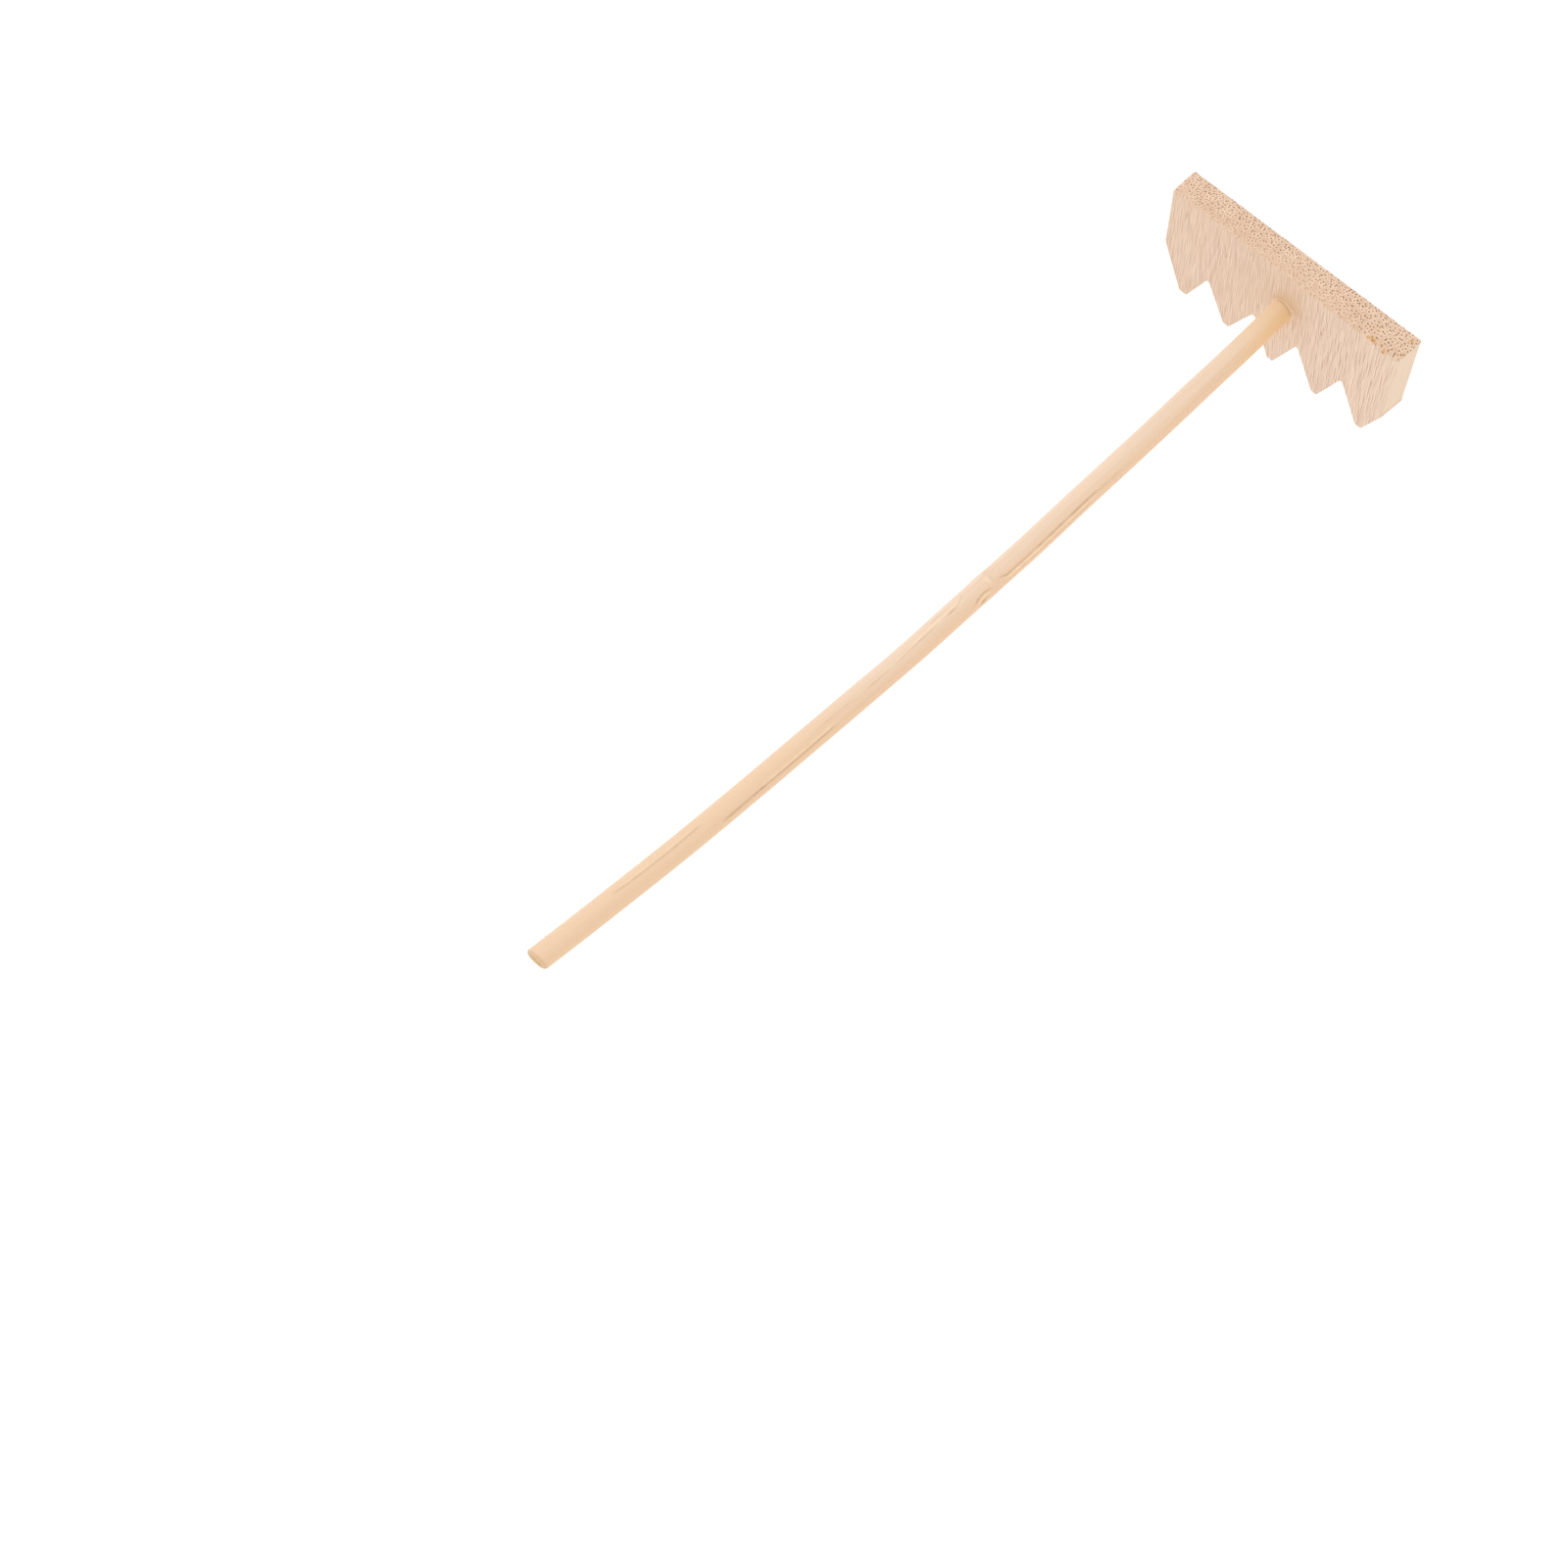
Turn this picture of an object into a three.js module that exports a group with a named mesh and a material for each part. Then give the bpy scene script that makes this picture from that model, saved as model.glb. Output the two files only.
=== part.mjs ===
// Miniature bamboo rake: a flat head sawn from one bamboo strip, with five saw-cut
// teeth, glued onto the end of a round bamboo stick that serves as the handle.
// Units are millimetres, +Z is up.
//
// Bench frame, used while the pieces are made: the bore's axis runs along Y, the
// head's front face (the handle's side) lies on Y = 0 and its back face on
// Y = +HEAD_THICKNESS, the teeth point towards -Z, and the handle runs towards -Y.
// The finished assembly is then laid down as it rests on a table: on the five tooth
// tips and the free end of the handle.

import * as THREE from 'three';

// ---------------------------------------------------------------- dimensions

// Head blank. The bore isn't centred: the blank reaches further to the left.
const HEAD_LEFT = 21.68;        // bore axis to the left end face
const HEAD_RIGHT = 20.02;       // bore axis to the right end face
const HEAD_THICKNESS = 4.6;
const HEAD_TOP = 8.27;          // bore axis up to the sawn top edge

// Saw-cut teeth.
const TOOTH_PITCH = 8.43;
const TOOTH_TIP = 14.28;        // bore axis down to the sharp, unrounded tip
const NOTCH_APEX = 5.42;        // bore axis down to the sharp corner of a notch
const NOTCH_SHIFT = -0.27;      // notch corners sit a little left of midway
const TEETH = 5;
const TEETH_CENTRE = -0.09;     // middle tooth, from the bore axis
const END_CUT_LEFT = 4.37;      // bore axis down to where the end face meets the outer flank
const END_CUT_RIGHT = 7.31;

// Sanded corner radii, seen from the front.
const TIP_RADIUS = 0.7;
const NOTCH_RADIUS = 0.5;
const END_RADIUS = 0.8;
const TOP_RADIUS = 0.45;

// Handle: a round stick, slightly bowed to one side, as natural sticks are.
const HANDLE_DIAMETER = 3.5;
const HANDLE_EXPOSED = 145.6;   // front face of the head to the free end
const HANDLE_CHAMFER = 0.35;    // sanded rim at the free end
const BOW_2 = 1.097;            // sideways drift, mm at 100 mm from the head: square term
const BOW_3 = 1.156;            // and cube term
const BOW_ANGLE = 160.7;        // direction of the drift, degrees from +X towards +Z
const KNUCKLE_AT = 66.0;        // the stick's natural node, from the head
const KNUCKLE_RISE = 0.04;      // how far it stands proud
const KNUCKLE_LENGTH = 7.0;

// Joint: a plain drilled hole right through the head, and the glue that fills it.
const BORE_DIAMETER = 3.8;
const SEAT_RECESS = 0.15;       // the stick's end stops this far short of the back face
const SEAT_CHAMFER = 0.25;
const GLUE_GAP = 0.02;          // clearance kept between the glue and its neighbours
const GLUE_DEPTH = 4.0;         // how far the glue reaches into the bore
const FILLET_WIDTH = 0.62;      // squeezed-out glue on the front face, past the bore wall
const FILLET_HEIGHT = 0.5;      // and along the stick

// Facets.
const ROUND_SEGMENTS = 40;
const CORNER_SEGMENTS = 6;
const HANDLE_STEP = 3.2;

// ---------------------------------------------------------------- materials

const bambooHead = new THREE.MeshStandardMaterial({ color: 0xe6c9ac, roughness: 0.72, metalness: 0 });
const bambooStick = new THREE.MeshStandardMaterial({ color: 0xebcb9f, roughness: 0.5, metalness: 0 });
const driedGlue = new THREE.MeshStandardMaterial({ color: 0xd9b27e, roughness: 0.25, metalness: 0 });

// ---------------------------------------------------------------- helpers

// A closed outline from sharp corners [x, y, radius], each rounded to its radius.
function roundedOutline(corners) {
  const shape = new THREE.Shape();
  const n = corners.length;
  for (let i = 0; i < n; i++) {
    const [px, py, r] = corners[i];
    const p = new THREE.Vector2(px, py);
    const toPrev = new THREE.Vector2(...corners[(i + n - 1) % n]).sub(p).normalize();
    const toNext = new THREE.Vector2(...corners[(i + 1) % n]).sub(p).normalize();
    const half = Math.acos(THREE.MathUtils.clamp(toPrev.dot(toNext), -1, 1)) / 2;
    const reach = r / Math.tan(half);
    const bisector = toPrev.clone().add(toNext).normalize();
    const centre = p.clone().addScaledVector(bisector, r / Math.sin(half));
    const start = p.clone().addScaledVector(toPrev, reach).sub(centre);
    const end = p.clone().addScaledVector(toNext, reach).sub(centre);
    const a0 = Math.atan2(start.y, start.x);
    let sweep = Math.atan2(end.y, end.x) - a0;
    while (sweep > Math.PI) sweep -= 2 * Math.PI;
    while (sweep < -Math.PI) sweep += 2 * Math.PI;
    for (let k = 0; k <= CORNER_SEGMENTS; k++) {
      const a = a0 + (sweep * k) / CORNER_SEGMENTS;
      const q = new THREE.Vector2(Math.cos(a), Math.sin(a)).multiplyScalar(r).add(centre);
      if (i === 0 && k === 0) shape.moveTo(q.x, q.y);
      else shape.lineTo(q.x, q.y);
    }
  }
  shape.closePath();
  return shape;
}

// A full turn of a profile given as [radius, y] about the Y axis.
function turned(profile, segments) {
  return new THREE.LatheGeometry(profile.map(([r, y]) => new THREE.Vector2(r, y)), segments);
}

// ---------------------------------------------------------------- rake head

function headGeometry() {
  const toothX = (i) => TEETH_CENTRE + (i - (TEETH - 1) / 2) * TOOTH_PITCH;
  const corners = [
    [-HEAD_LEFT, HEAD_TOP, TOP_RADIUS],
    [-HEAD_LEFT, -END_CUT_LEFT, END_RADIUS],
  ];
  for (let i = 0; i < TEETH; i++) {
    corners.push([toothX(i), -TOOTH_TIP, TIP_RADIUS]);
    if (i < TEETH - 1) {
      corners.push([toothX(i) + TOOTH_PITCH / 2 + NOTCH_SHIFT, -NOTCH_APEX, NOTCH_RADIUS]);
    }
  }
  corners.push([HEAD_RIGHT, -END_CUT_RIGHT, END_RADIUS]);
  corners.push([HEAD_RIGHT, HEAD_TOP, TOP_RADIUS]);

  const outline = roundedOutline(corners);
  const bore = new THREE.Path();
  bore.absarc(0, 0, BORE_DIAMETER / 2, 0, 2 * Math.PI, true);
  outline.holes.push(bore);

  const geometry = new THREE.ExtrudeGeometry(outline, {
    depth: HEAD_THICKNESS,
    steps: 1,
    curveSegments: ROUND_SEGMENTS / 2,
    bevelEnabled: false,
  });
  // Drawn in X and Y and extruded along Z: turn it so that it stands up, front face on Y = 0.
  geometry.rotateX(Math.PI / 2);
  geometry.translate(0, HEAD_THICKNESS, 0);
  return geometry;
}

// ---------------------------------------------------------------- handle stick

function bowAt(y) {
  const q = Math.max(0, -y) / 100;
  const drift = BOW_2 * q * q + BOW_3 * q * q * q;
  const a = THREE.MathUtils.degToRad(BOW_ANGLE);
  return new THREE.Vector2(Math.cos(a), Math.sin(a)).multiplyScalar(drift);
}

function bowSlopeAt(y) {
  const q = Math.max(0, -y) / 100;
  const slope = -(2 * BOW_2 * q + 3 * BOW_3 * q * q) / 100;
  const a = THREE.MathUtils.degToRad(BOW_ANGLE);
  return new THREE.Vector2(Math.cos(a), Math.sin(a)).multiplyScalar(slope);
}

function handleGeometry() {
  const r = HANDLE_DIAMETER / 2;
  const radiusAt = (y) => {
    const d = (-y - KNUCKLE_AT) / (KNUCKLE_LENGTH / 2);
    return r + KNUCKLE_RISE * Math.exp(-d * d);
  };
  const back = HEAD_THICKNESS - SEAT_RECESS;
  const free = -HANDLE_EXPOSED;
  const profile = [[0, free], [r - HANDLE_CHAMFER, free]];
  const from = free + HANDLE_CHAMFER;
  const steps = Math.round((0 - from) / HANDLE_STEP);
  for (let i = 0; i <= steps; i++) {
    const y = from + ((0 - from) * i) / steps;
    profile.push([radiusAt(y), y]);
  }
  profile.push([r, back - SEAT_CHAMFER], [r - SEAT_CHAMFER, back], [0, back]);
  const geometry = turned(profile, ROUND_SEGMENTS);

  // Bend the straight stick: each cross section shifts sideways and turns square to the bowed axis.
  const position = geometry.attributes.position;
  for (let i = 0; i < position.count; i++) {
    const x = position.getX(i), y = position.getY(i), z = position.getZ(i);
    const shift = bowAt(y), slope = bowSlopeAt(y);
    position.setXYZ(i, x + shift.x, y - (x * slope.x + z * slope.y), z + shift.y);
  }
  geometry.computeVertexNormals();
  return geometry;
}

// ---------------------------------------------------------------- glue

function glueGeometry() {
  const inner = HANDLE_DIAMETER / 2 + GLUE_GAP;
  const wall = BORE_DIAMETER / 2 - GLUE_GAP;
  const outer = BORE_DIAMETER / 2 + FILLET_WIDTH;
  const profile = [
    [inner, GLUE_DEPTH],
    [inner, -FILLET_HEIGHT],
    [inner + 0.07, -FILLET_HEIGHT],
  ];
  // Concave fillet from the stick down onto the front face.
  const steps = 5;
  for (let i = 1; i < steps; i++) {
    const t = i / steps;
    const sag = 0.38 * Math.sin(Math.PI * t);
    const rr = inner + 0.07 + (outer - inner - 0.07) * t;
    const yy = -FILLET_HEIGHT + (FILLET_HEIGHT - 0.07) * t;
    profile.push([rr - sag * 0.3, yy + sag * 0.3]);
  }
  profile.push(
    [outer, -0.07],
    [outer, -GLUE_GAP],
    [wall, -GLUE_GAP],
    [wall, GLUE_DEPTH],
    [inner, GLUE_DEPTH],
  );
  return turned(profile, ROUND_SEGMENTS);
}

// ---------------------------------------------------------------- assembly

const head = new THREE.Mesh(headGeometry(), bambooHead);
head.name = 'rake_head';
const handle = new THREE.Mesh(handleGeometry(), bambooStick);
handle.name = 'handle_stick';
const glue = new THREE.Mesh(glueGeometry(), driedGlue);
glue.name = 'glue_joint';

// Lean angle at which the tooth tips and the handle's free end touch the table together.
function lowest(mesh, angle) {
  const p = mesh.geometry.attributes.position;
  let low = Infinity;
  for (let i = 0; i < p.count; i++) {
    low = Math.min(low, p.getY(i) * Math.sin(angle) + p.getZ(i) * Math.cos(angle));
  }
  return low;
}

let leanLow = 0, leanHigh = THREE.MathUtils.degToRad(15);
for (let i = 0; i < 60; i++) {
  const mid = (leanLow + leanHigh) / 2;
  if (lowest(handle, mid) > lowest(head, mid)) leanLow = mid;
  else leanHigh = mid;
}
const lean = (leanLow + leanHigh) / 2;

const assembly = new THREE.Group();
assembly.add(head, handle, glue);
assembly.rotation.x = lean;
assembly.updateMatrixWorld(true);

// Origin: the middle of the footprint, on the table.
const box = new THREE.Box3().setFromObject(assembly, true);
assembly.position.set(-(box.min.x + box.max.x) / 2, -(box.min.y + box.max.y) / 2, -box.min.z);

const rake = new THREE.Group();
rake.add(assembly);

export default rake;
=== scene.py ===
"""Looks of the miniature bamboo rake: head, stick and glue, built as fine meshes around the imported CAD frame."""

import math

import bpy
import numpy as np
from mathutils import Matrix, Vector, noise
from mathutils.geometry import delaunay_2d_cdt


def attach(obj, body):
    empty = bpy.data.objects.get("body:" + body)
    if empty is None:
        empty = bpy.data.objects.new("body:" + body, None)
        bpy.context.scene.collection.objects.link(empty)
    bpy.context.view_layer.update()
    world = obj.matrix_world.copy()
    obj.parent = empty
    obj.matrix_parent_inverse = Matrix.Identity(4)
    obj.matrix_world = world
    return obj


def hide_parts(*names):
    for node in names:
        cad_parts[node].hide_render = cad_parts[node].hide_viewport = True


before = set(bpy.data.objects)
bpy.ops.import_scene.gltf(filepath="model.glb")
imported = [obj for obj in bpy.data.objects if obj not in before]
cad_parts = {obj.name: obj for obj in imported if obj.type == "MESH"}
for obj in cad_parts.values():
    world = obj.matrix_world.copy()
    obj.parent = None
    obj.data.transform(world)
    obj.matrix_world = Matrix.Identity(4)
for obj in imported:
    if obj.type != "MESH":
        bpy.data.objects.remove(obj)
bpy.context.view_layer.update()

# ------------------------------------------------------------------ bench frame
# The pieces are made in the bench frame in mm: bore axis along Y, front face of the head on
# y = 0, back face on y = +4.6, teeth towards -Z, handle towards -Y. It leans onto the table.
LEAN = math.radians(5.333089021030985)
POS = np.array([0.8299999237, 69.7439113238, 13.3210199440])
CL, SL = math.cos(LEAN), math.sin(LEAN)
RX = np.array([[1, 0, 0], [0, CL, -SL], [0, SL, CL]])

THICK = 4.6
TOP = 8.27
BORE_R = 1.9
STICK_R = 1.75
FREE_END = -145.6


def to_row(points):
    return (np.asarray(points, float) @ RX.T + POS) / 1000.0


def smooth(x, a, b):
    t = np.clip((np.asarray(x, float) - a) / (b - a), 0.0, 1.0)
    return t * t * (3 - 2 * t)


def wave(points, scale, offset=0.0):
    """Smooth noise in -1..1 at each point; scale is a number or one number per axis, in 1/mm."""
    q = np.asarray(points, float) * np.asarray(scale, float) + offset
    return np.array([noise.noise(Vector(p)) for p in q])


def srgb(r, g, b):
    """8-bit display colour to linear RGBA."""
    c = [x / 255.0 for x in (r, g, b)]
    return tuple([x / 12.92 if x <= 0.04045 else ((x + 0.055) / 1.055) ** 2.4 for x in c] + [1.0])


def vertex_normals(co, tris):
    n = np.zeros_like(co)
    a, b, c = co[tris[:, 0]], co[tris[:, 1]], co[tris[:, 2]]
    fn = np.cross(b - a, c - a)
    for k in range(3):
        np.add.at(n, tris[:, k], fn)
    return n / np.maximum(np.linalg.norm(n, axis=1, keepdims=True), 1e-12)


def triangulated(faces):
    out = []
    for f in faces:
        for k in range(1, len(f) - 1):
            out.append((f[0], f[k], f[k + 1]))
    return np.array(out)


def make_object(name, co, faces, uv_of_face, attributes, vectors=None):
    """co in bench mm. uv_of_face is one (u, v) list per face. attributes are float per point."""
    me = bpy.data.meshes.new(name)
    me.from_pydata(to_row(co).tolist(), [], faces)
    me.update()
    layer = me.uv_layers.new(name="OFBake")
    flat = np.array([uv for face in uv_of_face for uv in face], np.float32)
    layer.uv.foreach_set("vector", flat.ravel())
    for key, values in attributes.items():
        at = me.attributes.new(key, "FLOAT", "POINT")
        at.data.foreach_set("value", np.asarray(values, np.float32))
    for key, values in (vectors or {}).items():
        at = me.attributes.new(key, "FLOAT_VECTOR", "POINT")
        at.data.foreach_set("vector", np.asarray(values, np.float32).ravel())
    me.polygons.foreach_set("use_smooth", [True] * len(me.polygons))
    ob = bpy.data.objects.new(name, me)
    bpy.context.scene.collection.objects.link(ob)
    return ob


# ------------------------------------------------------------------ rake head

def arc(prev, p, nxt, r, flat=0.0, seg=8):
    """Rounded corner between two straight runs; flat > 0 first cuts the point off square."""
    prev, p, nxt = (np.array(q, float) for q in (prev, p, nxt))
    a, b = prev - p, nxt - p
    a /= np.linalg.norm(a)
    b /= np.linalg.norm(b)
    half = math.acos(max(-1.0, min(1.0, float(a @ b)))) / 2
    if flat > 0:
        length = flat / 2 / math.sin(half)
        pa, pb = p + a * length, p + b * length
        return arc(prev, pa, pb, r, 0, seg) + arc(pa, pb, nxt, r, 0, seg)
    reach = r / math.tan(half)
    centre = p + (a + b) / np.linalg.norm(a + b) * r / math.sin(half)
    s, e = p + a * reach - centre, p + b * reach - centre
    a0 = math.atan2(s[1], s[0])
    sweep = math.atan2(e[1], e[0]) - a0
    sweep = (sweep + math.pi) % (2 * math.pi) - math.pi
    return [tuple(centre + r * np.array([math.cos(a0 + sweep * k / seg), math.sin(a0 + sweep * k / seg)])) for k in range(seg + 1)]


# Sharp corners of the sawn outline, then corner radius and width of a blunt tip. Every tooth
# came off the saw a little different.
CORNERS = [
    (-21.81, 8.30, 0.48, 0.0),
    (-21.63, -4.31, 1.1, 0.0),
    (-16.98, -14.54, 0.26, 1.18),
    (-13.14, -5.68, 0.48, 0.0),
    (-8.54, -14.09, 0.22, 1.0),
    (-4.36, -5.56, 0.5, 0.0),
    (-0.07, -14.28, 0.3, 0.90),
    (3.72, -5.43, 0.48, 0.0),
    (8.40, -14.24, 0.22, 0.86),
    (12.11, -5.31, 0.55, 0.0),
    (16.78, -14.26, 0.28, 0.88),
    (19.86, -7.21, 1.0, 0.0),
    (20.00, 8.29, 0.55, 0.0),
]


def outline_points(step):
    pts = []
    n = len(CORNERS)
    for i in range(n):
        x, z, r, flat = CORNERS[i]
        p0, p1 = CORNERS[(i - 1) % n][:2], CORNERS[(i + 1) % n][:2]
        pts += arc(p0, (x, z), p1, r, flat)
    dense = []
    for i in range(len(pts)):
        a, b = np.array(pts[i]), np.array(pts[(i + 1) % len(pts)])
        d = np.linalg.norm(b - a)
        if d < 1e-6:
            continue
        k = max(1, int(math.ceil(d / step)))
        for j in range(k):
            dense.append(a + (b - a) * j / k)
    return np.array(dense)


def inside(points, ring):
    x, z = points[:, 0], points[:, 1]
    hit = np.zeros(len(points), bool)
    for (x0, z0), (x1, z1) in zip(ring, np.roll(ring, -1, axis=0)):
        if z0 == z1:
            continue
        cond = (z0 > z) != (z1 > z)
        hit ^= cond & (x < (x1 - x0) * (z - z0) / (z1 - z0) + x0)
    return hit


def far_from(points, ring, d):
    keep = np.ones(len(points), bool)
    for s in range(0, len(points), 2000):
        q = points[s:s + 2000]
        dist = np.sqrt(((q[:, None, :] - ring[None, :, :]) ** 2).sum(-1)).min(1)
        keep[s:s + 2000] = dist > d
    return keep


def filled(ring, hole, dx, dz):
    """Triangles over a face: ring and hole are (n, 2). Returns inner points and triangles that
    index ring, then hole, then the inner points."""
    lo, hi = ring.min(0), ring.max(0)
    grid = []
    for row, z in enumerate(np.arange(lo[1] + 0.1, hi[1], dz)):
        xs = np.arange(lo[0] + 0.05 + (dx / 2 if row % 2 else 0), hi[0], dx)
        grid.append(np.stack([xs, np.full(len(xs), z)], 1))
    grid = np.concatenate(grid)
    grid = grid[inside(grid, ring)]
    grid = grid[np.hypot(grid[:, 0], grid[:, 1]) > np.hypot(hole[:, 0], hole[:, 1]).max() + 0.12]
    grid = grid[far_from(grid, ring, 0.14)]
    pts = np.concatenate([ring, hole, grid])
    nr, nh = len(ring), len(hole)
    edges = [(i, (i + 1) % nr) for i in range(nr)] + [(nr + i, nr + (i + 1) % nh) for i in range(nh)]
    out = delaunay_2d_cdt([Vector(p) for p in pts], edges, [], 0, 1e-7)
    verts, faces, orig = np.array([tuple(v) for v in out[0]]), np.array(out[2]), out[3]
    back = np.array([o[0] for o in orig])
    mid = verts[faces].mean(1)
    keep = inside(mid, ring) & (~inside(mid, hole))
    tris = back[faces[keep]]
    a, b, c = pts[tris[:, 0]], pts[tris[:, 1]], pts[tris[:, 2]]
    area = (b[:, 0] - a[:, 0]) * (c[:, 1] - a[:, 1]) - (c[:, 0] - a[:, 0]) * (b[:, 1] - a[:, 1])
    tris = tris[np.abs(area) > 1e-9]
    area = area[np.abs(area) > 1e-9]
    tris[area < 0] = tris[area < 0][:, ::-1]
    return grid, tris


def build_head():
    ring = outline_points(0.19)
    n = len(ring)
    nxt, prv = np.roll(ring, -1, axis=0), np.roll(ring, 1, axis=0)
    t = nxt - prv
    t /= np.linalg.norm(t, axis=1, keepdims=True)
    out = np.stack([t[:, 1], -t[:, 0]], 1)                  # outward in the face's plane
    top = smooth(out[:, 1], 0.55, 0.95)
    left = smooth(-out[:, 0], 0.9, 0.99) * smooth(ring[:, 1], -5.2, -4.0) * (ring[:, 0] < -20)
    right = smooth(out[:, 0], 0.9, 0.99) * smooth(ring[:, 1], -7.8, -6.8) * (ring[:, 0] > 19)
    rest = np.clip(1 - top - left - right, 0, 1)
    rf_top = 0.26 + 0.40 * smooth(ring[:, 0], -8, 6)
    rf = top * rf_top + left * 0.28 + right * 0.5 + rest * 0.13
    rb = top * 0.11 + left * 0.28 + right * 0.22 + rest * 0.11
    seglen = np.linalg.norm(nxt - ring, axis=1)

    def soften(values, reach):
        s = np.concatenate([[0], np.cumsum(seglen)])[:-1]
        total = seglen.sum()
        d = np.abs(s[:, None] - s[None, :])
        d = np.minimum(d, total - d)
        w = np.exp(-(d / reach) ** 2)
        return (w @ values) / w.sum(1)

    rf, rb = soften(rf, 0.45), soften(rb, 0.45)
    # Where a corner is tighter than the easing, the easing gives way.
    turn = np.arccos(np.clip((np.roll(t, -1, axis=0) * t).sum(1), -1, 1))
    convex = np.cross(np.roll(t, 1, axis=0), t) > 0
    local = np.where(convex & (turn > 0.02), seglen / np.maximum(turn, 1e-3), 9.0)
    limit = np.minimum(local, np.minimum(np.roll(local, 1), np.roll(local, -1))) * 0.85
    rf, rb = np.minimum(rf, np.maximum(limit, 0.1)), np.minimum(rb, np.maximum(limit, 0.1))
    rf, rb = soften(rf, 0.12), soften(rb, 0.12)

    swell = np.interp(ring[:, 0], [-15, -6.5, 1.8, 10.2, 18.3], [0.14, 0.07, 0.19, 0.175, 0.165])
    swell = swell * smooth(out[:, 0], 0.3, 0.7) * rest
    swell = swell + 0.05 * smooth(-out[:, 0], 0.3, 0.7) * rest * smooth(ring[:, 0], 11.5, 13.0)

    def place(shift, y):
        p = ring - out * (shift - swell)[:, None]
        co = np.stack([p[:, 0], y, p[:, 1]], 1)
        co[:, 2] += 0.05 * top * y / THICK
        # The end faces aren't quite square to the front.
        lean_r = smooth(p[:, 0], 12, 20) * (0.31 + 0.09 * smooth(-p[:, 1], -6, 5)) * (y / THICK)
        lean_l = smooth(-p[:, 0], 14, 21) * 0.08 * (y / THICK)
        co[:, 0] += lean_r + lean_l - 0.03 * smooth(p[:, 0], 12, 20)
        return co

    rings, profile = [], []
    steps = 6
    for k in range(steps + 1):
        a = math.pi / 2 * k / steps
        rings.append(place(rf * (1 - math.sin(a)), rf * (1 - math.cos(a))))
        profile.append(0.3 * k / steps)
    rows = 13
    for k in range(1, rows):
        f = k / rows
        rings.append(place(rf * 0, rf * (1 - f) + (THICK - rb) * f))
        profile.append(0.3 + 4.2 * f)
    for k in range(steps + 1):
        a = math.pi / 2 * (1 - k / steps)
        rings.append(place(rb * (1 - math.sin(a)), THICK - rb * (1 - math.cos(a))))
        profile.append(4.5 + 0.3 * k / steps)
    nk = len(rings)
    co = [np.concatenate(rings)]
    count = nk * n

    # Bore, with a slightly broken edge at each face.
    m = 72
    ang = np.arange(m) * 2 * math.pi / m
    bore_rows = [(BORE_R + 0.1, 0.0), (BORE_R + 0.03, 0.03), (BORE_R, 0.1)]
    bore_rows += [(BORE_R, 0.1 + 4.4 * f) for f in (0.15, 0.3, 0.5, 0.7, 0.85)]
    bore_rows += [(BORE_R, THICK - 0.1), (BORE_R + 0.03, THICK - 0.03), (BORE_R + 0.1, THICK)]
    bore0 = count
    for r, y in bore_rows:
        co.append(np.stack([r * np.cos(ang), np.full(m, y), r * np.sin(ang)], 1))
    count += len(bore_rows) * m
    hole = np.stack([(BORE_R + 0.1) * np.cos(ang), (BORE_R + 0.1) * np.sin(ang)], 1)

    front_ring, back_ring = rings[0][:, [0, 2]], rings[-1][:, [0, 2]]
    gf, tf = filled(front_ring, hole, 0.15, 0.5)
    gb, tb = filled(back_ring, hole, 0.17, 0.55)
    f0 = count
    co.append(np.stack([gf[:, 0], np.zeros(len(gf)), gf[:, 1]], 1))
    count += len(gf)
    b0 = count
    co.append(np.stack([gb[:, 0], np.full(len(gb), THICK), gb[:, 1]], 1))
    count += len(gb)
    co = np.concatenate(co)

    def face_index(t, ring_base, hole_base, grid_base):
        out_t = np.where(t < n, t + ring_base, np.where(t < n + m, t - n + hole_base, t - n - m + grid_base))
        return out_t

    faces, uvs = [], []
    # Layout in mm of the one texture sheet: front, back, four strips of edge, the bore.
    wide, high = 42.6, 74.0

    def sheet(u, v):
        return (u / wide, v / high)

    tri_f = face_index(tf, 0, bore0, f0)
    tri_b = face_index(tb, (nk - 1) * n, bore0 + (len(bore_rows) - 1) * m, b0)[:, ::-1]
    for tri in tri_f:
        faces.append(tuple(int(i) for i in tri))
        uvs.append([sheet(co[i, 0] + 22.0, co[i, 2] + 13.8) for i in tri])
    for tri in tri_b:
        faces.append(tuple(int(i) for i in tri))
        uvs.append([sheet(20.4 - co[i, 0], co[i, 2] + 13.8 + 22.8) for i in tri])
    s = np.concatenate([[0], np.cumsum(seglen)])
    total = s[-1]
    strip = total / 4
    for i in range(n):
        j = (i + 1) % n
        band = min(3, int(s[i] / strip))
        u0, u1 = s[i] - band * strip, s[i + 1] - band * strip
        for k in range(nk - 1):
            v0, v1 = 45.6 + band * 5.5 + profile[k], 45.6 + band * 5.5 + profile[k + 1]
            faces.append((k * n + i, (k + 1) * n + i, (k + 1) * n + j, k * n + j))
            uvs.append([sheet(u0 + 0.2, v0), sheet(u0 + 0.2, v1), sheet(u1 + 0.2, v1), sheet(u1 + 0.2, v0)])
    for i in range(m):
        j = (i + 1) % m
        for k in range(len(bore_rows) - 1):
            a, b = bore0 + k * m, bore0 + (k + 1) * m
            faces.append((a + i, a + j, b + j, b + i))
            u0, u1 = 0.2 + i * 0.166, 0.2 + (i + 1) * 0.166
            v0, v1 = 68.0 + bore_rows[k][1], 68.0 + bore_rows[k + 1][1]
            if v1 - v0 < 1e-6:
                v1 = v0 + 0.03
            uvs.append([sheet(u0, v0), sheet(u1, v0), sheet(u1, v1), sheet(u0, v1)])

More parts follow.
